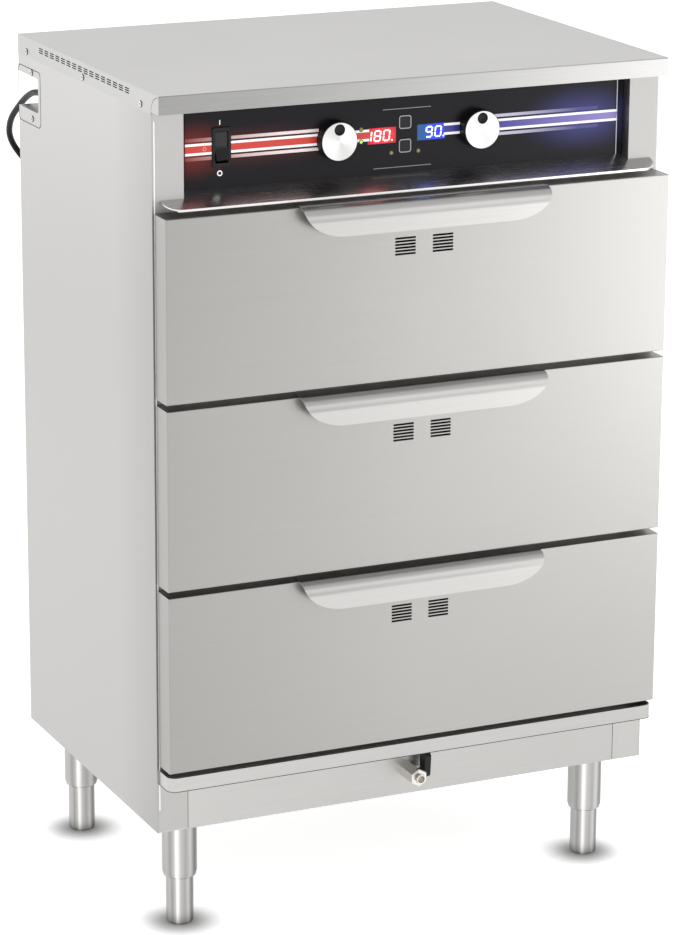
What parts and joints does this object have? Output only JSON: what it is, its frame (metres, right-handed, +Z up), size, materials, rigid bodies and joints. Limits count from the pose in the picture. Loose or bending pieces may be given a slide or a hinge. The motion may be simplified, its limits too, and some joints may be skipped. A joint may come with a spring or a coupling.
{
  "type": "drawer warmer cabinet",
  "caption": "Free-standing heated and humidified holding cabinet with stacked pull-out pan drawers, a knob control panel and adjustable legs.",
  "frame": {"origin": "on the floor, under the middle of the cabinet with its drawer handles", "axes": "+X to the right seen from the front, +Y to the back, +Z up; the drawers open towards -Y"},
  "size_m": [0.7384, 0.7368, 1.162],
  "materials": {
    "stainless": "brushed stainless sheet",
    "inner_steel": "plain stainless sheet inside",
    "panel_face": "black overlay, satin",
    "black_plastic": "black moulded plastic",
    "knob_cap": "spun aluminium disc",
    "red_window": "dark red window over a lit display",
    "blue_window": "dark blue window over a lit display",
    "lamp": "lamp lens",
    "key_face": "black key with a pale outline",
    "circuit_board": "green circuit board",
    "gasket": "black soft seal",
    "wool": "mineral wool slab",
    "foot_steel": "polished leg steel",
    "brass_valve": "plated valve body",
    "dark_metal": "dark enamelled metal",
    "cord_rubber": "black cord sheath"
  },
  "bodies": {
    "cabinet": {"top_cover": "stainless", "left_side_panel": "stainless", "right_side_panel": "stainless", "back_panel": "stainless", "base_pan": "stainless", "front_posts": "stainless", "cross_rails": "inner_steel", "drawer_gaskets": "gasket", "drip_trough": "stainless", "drip_ledge": "stainless", "control_panel": "panel_face", "temperature_display": "red_window", "humidity_display": "blue_window", "indicator_lamps": "lamp", "control_board": "circuit_board", "switch_bezel": "black_plastic", "liner_sides": "inner_steel", "liner_floor_and_ceiling": "inner_steel", "liner_back": "inner_steel", "insulation": "wool", "fan_motor": "dark_metal", "heating_element": "dark_metal", "water_pan": "inner_steel", "valve_body": "brass_valve", "leg_sockets": "foot_steel", "slide_rails": "inner_steel", "cord_recess": "stainless", "cord_gland": "black_plastic", "panel_screws": "foot_steel", "power_cord": "cord_rubber", "cord_coil": "cord_rubber", "power_plug": "black_plastic"},
    "drawer_1": {"drawer_1_front": "stainless", "drawer_1_handle": "stainless", "drawer_1_carriage": "inner_steel", "drawer_1_pan": "inner_steel"},
    "drawer_1_shutter": {"drawer_1_vent_shutter": "inner_steel"},
    "drawer_2": {"drawer_2_front": "stainless", "drawer_2_handle": "stainless", "drawer_2_carriage": "inner_steel", "drawer_2_pan": "inner_steel"},
    "drawer_2_shutter": {"drawer_2_vent_shutter": "inner_steel"},
    "drawer_3": {"drawer_3_front": "stainless", "drawer_3_handle": "stainless", "drawer_3_carriage": "inner_steel", "drawer_3_pan": "inner_steel"},
    "drawer_3_shutter": {"drawer_3_vent_shutter": "inner_steel"},
    "temperature_knob": {"temperature_knob": "black_plastic", "temperature_knob_cap": "knob_cap"},
    "humidity_knob": {"humidity_knob": "black_plastic", "humidity_knob_cap": "knob_cap"},
    "power_switch": {"switch_rocker": "black_plastic"},
    "upper_key": {"upper_key": "key_face"},
    "lower_key": {"lower_key": "key_face"},
    "drain_lever": {"valve_lever": "black_plastic"},
    "fan": {"fan_wheel": "inner_steel"},
    "front_left_foot": {"front_left_foot": "foot_steel"},
    "front_right_foot": {"front_right_foot": "foot_steel"},
    "rear_left_foot": {"rear_left_foot": "foot_steel"},
    "rear_right_foot": {"rear_right_foot": "foot_steel"}
  },
  "joints": [
    {"name": "drawer_1_slide", "type": "slide", "parent": "cabinet", "child": "drawer_1", "axis": [0, -1, 0], "range_m": [0, 0.37]},
    {"name": "drawer_1_vent_slide", "type": "slide", "parent": "drawer_1", "child": "drawer_1_shutter", "axis": [1, 0, 0], "range_m": [0, 0.032]},
    {"name": "drawer_2_slide", "type": "slide", "parent": "cabinet", "child": "drawer_2", "axis": [0, -1, 0], "range_m": [0, 0.37]},
    {"name": "drawer_2_vent_slide", "type": "slide", "parent": "drawer_2", "child": "drawer_2_shutter", "axis": [1, 0, 0], "range_m": [0, 0.032]},
    {"name": "drawer_3_slide", "type": "slide", "parent": "cabinet", "child": "drawer_3", "axis": [0, -1, 0], "range_m": [0, 0.37]},
    {"name": "drawer_3_vent_slide", "type": "slide", "parent": "drawer_3", "child": "drawer_3_shutter", "axis": [1, 0, 0], "range_m": [0, 0.032]},
    {"name": "temperature_turn", "type": "hinge", "parent": "cabinet", "child": "temperature_knob", "pos_m": [-0.104, -0.19865, 1.079], "axis": [0, -1, 0], "continuous": true},
    {"name": "humidity_turn", "type": "hinge", "parent": "cabinet", "child": "humidity_knob", "pos_m": [0.104, -0.19865, 1.079], "axis": [0, -1, 0], "continuous": true},
    {"name": "switch_rock", "type": "hinge", "parent": "cabinet", "child": "power_switch", "pos_m": [-0.2645, -0.19335, 1.0817], "axis": [1, 0, 0], "range_deg": [0, 22]},
    {"name": "upper_key_press", "type": "slide", "parent": "cabinet", "child": "upper_key", "axis": [0, 1, 0], "range_m": [0, 0.0006], "stiffness_N_per_m": 2000},
    {"name": "lower_key_press", "type": "slide", "parent": "cabinet", "child": "lower_key", "axis": [0, 1, 0], "range_m": [0, 0.0006], "stiffness_N_per_m": 2000},
    {"name": "drain_turn", "type": "hinge", "parent": "cabinet", "child": "drain_lever", "pos_m": [0.021, -0.23365, 0.193], "axis": [1, 0, 0], "range_deg": [0, 90]},
    {"name": "fan_spin", "type": "hinge", "parent": "cabinet", "child": "fan", "pos_m": [0, 0.22535, 0.628], "axis": [0, -1, 0], "continuous": true},
    {"name": "front_left_level", "type": "slide", "parent": "cabinet", "child": "front_left_foot", "axis": [0, 0, -1], "range_m": [0, 0.025]},
    {"name": "front_right_level", "type": "slide", "parent": "cabinet", "child": "front_right_foot", "axis": [0, 0, -1], "range_m": [0, 0.025]},
    {"name": "rear_left_level", "type": "slide", "parent": "cabinet", "child": "rear_left_foot", "axis": [0, 0, -1], "range_m": [0, 0.025]},
    {"name": "rear_right_level", "type": "slide", "parent": "cabinet", "child": "rear_right_foot", "axis": [0, 0, -1], "range_m": [0, 0.025]}
  ]
}
